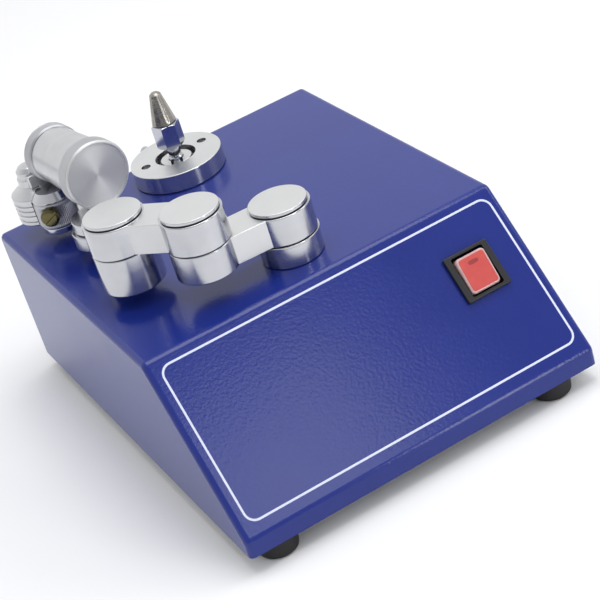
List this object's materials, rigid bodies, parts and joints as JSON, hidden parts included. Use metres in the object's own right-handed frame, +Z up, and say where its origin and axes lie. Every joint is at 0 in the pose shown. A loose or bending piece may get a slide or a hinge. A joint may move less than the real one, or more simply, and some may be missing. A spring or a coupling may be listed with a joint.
{
  "type": "dental instrument sharpener",
  "caption": "Bench sharpener for dental hand instruments: sloped housing, motor-driven vertical honing cone, jointed arm with a tilting guide head and chuck.",
  "frame": {"origin": "on the table, under the middle of the object's box", "axes": "+Z up, the sloping front faces -Y, +X to the right seen from the front"},
  "size_m": [0.2, 0.2704, 0.1539],
  "materials": {
    "powder_coat": "glossy blue powder coat",
    "zinc_plate": "zinc-plated pressed steel",
    "satin_aluminium": "satin, bead-blasted and anodised",
    "turned_aluminium": "fine turned",
    "bright_chrome": "polished",
    "sintered_bronze": "plain bearing bronze",
    "dark_brass": "tarnished brass",
    "honing_steel": "ground, dull brown-grey",
    "black_rubber": "matt moulded rubber",
    "black_plastic": "moulded nylon",
    "red_lens": "clear red polycarbonate over white",
    "enamelled_copper": "enamelled copper winding",
    "natural_nylon": "natural nylon"
  },
  "bodies": {
    "base": {"cover_shell": "powder_coat", "base_plate": "zinc_plate", "foot_screw_front_left": "zinc_plate", "foot_screw_front_right": "zinc_plate", "foot_screw_back_left": "zinc_plate", "foot_screw_back_right": "zinc_plate", "inlet_blade_line": "zinc_plate", "inlet_blade_neutral": "zinc_plate", "inlet_blade_earth": "zinc_plate", "inlet_screw_1": "zinc_plate", "inlet_screw_2": "zinc_plate", "flange_screw_1": "zinc_plate", "flange_screw_2": "zinc_plate", "motor_bracket": "zinc_plate", "spindle_flange": "satin_aluminium", "arm_post": "satin_aluminium", "shoulder_cap": "satin_aluminium", "motor_end_bell": "turned_aluminium", "bearing_upper": "bright_chrome", "bearing_lower": "bright_chrome", "shoulder_pin": "bright_chrome", "foot_front_left": "black_rubber", "foot_front_right": "black_rubber", "foot_back_left": "black_rubber", "foot_back_right": "black_rubber", "switch_body": "black_plastic", "inlet_body": "black_plastic", "motor_can": "black_plastic", "motor_stator": "enamelled_copper", "terminal_block": "natural_nylon"},
    "spindle": {"spindle_shaft": "bright_chrome", "hub_collar": "turned_aluminium", "hex_arbor": "bright_chrome", "honing_cone": "honing_steel", "shaft_coupling": "turned_aluminium", "motor_rotor": "zinc_plate"},
    "rocker": {"switch_rocker": "red_lens"},
    "set_screw": {"flange_set_screw": "satin_aluminium"},
    "lower_arm": {"lower_link": "satin_aluminium", "shoulder_bush": "sintered_bronze", "elbow_pin": "bright_chrome", "elbow_cap": "satin_aluminium"},
    "upper_arm": {"upper_link": "satin_aluminium", "elbow_bush": "sintered_bronze", "wrist_pin": "bright_chrome", "wrist_cap": "satin_aluminium"},
    "wrist_arm": {"wrist_link": "satin_aluminium", "wrist_bush": "sintered_bronze", "swivel_pin": "bright_chrome"},
    "head": {"head_pedestal": "satin_aluminium", "drum_sleeve": "turned_aluminium"},
    "tilt": {"tilt_shaft": "bright_chrome", "tilt_knob": "turned_aluminium", "index_disc": "turned_aluminium", "chuck_carrier": "turned_aluminium", "carrier_screw": "zinc_plate"},
    "chuck": {"chuck_sleeve": "turned_aluminium", "nose_ring": "bright_chrome"},
    "clamp": {"clamp_screw": "dark_brass"}
  },
  "joints": [
    {"name": "spindle_spin", "type": "hinge", "parent": "base", "child": "spindle", "pos_m": [0.0026, 0.0998, 0.1], "axis": [0, 0, 1], "continuous": true},
    {"name": "switch_rock", "type": "hinge", "parent": "base", "child": "rocker", "pos_m": [0.0686, -0.09373, 0.06316], "axis": [1, 0, 0], "range_deg": [-14, 0]},
    {"name": "set_screw_turn", "type": "hinge", "parent": "base", "child": "set_screw", "pos_m": [0.0026, 0.0998, 0.096], "axis": [-0.2079, 0.9781, 0], "range_deg": [-180, 180]},
    {"name": "shoulder", "type": "hinge", "parent": "base", "child": "lower_arm", "pos_m": [0, -0.0402, 0.1], "axis": [0, 0, 1], "range_deg": [-2.5, 55]},
    {"name": "elbow", "type": "hinge", "parent": "lower_arm", "child": "upper_arm", "pos_m": [-0.04335, -0.03808, 0.11], "axis": [0, 0, 1], "range_deg": [-2, 50]},
    {"name": "wrist", "type": "hinge", "parent": "upper_arm", "child": "wrist_arm", "pos_m": [-0.07137, -0.00573, 0.11], "axis": [0, 0, 1], "range_deg": [-2.5, 45]},
    {"name": "head_swivel", "type": "hinge", "parent": "wrist_arm", "child": "head", "pos_m": [-0.06356, 0.05285, 0.11], "axis": [0, 0, 1], "range_deg": [-4, 40]},
    {"name": "head_tilt", "type": "hinge", "parent": "head", "child": "tilt", "pos_m": [-0.05878, 0.05335, 0.1356], "axis": [-0.1045, 0.9945, 0], "range_deg": [-90, 90]},
    {"name": "chuck_turn", "type": "hinge", "parent": "tilt", "child": "chuck", "pos_m": [-0.07239, 0.09194, 0.105], "axis": [0, 0, 1], "range_deg": [-45, 60]},
    {"name": "clamp_turn", "type": "hinge", "parent": "chuck", "child": "clamp", "pos_m": [-0.07239, 0.09194, 0.109], "axis": [-0.5736, -0.8192, 0], "range_deg": [-180, 180]}
  ]
}
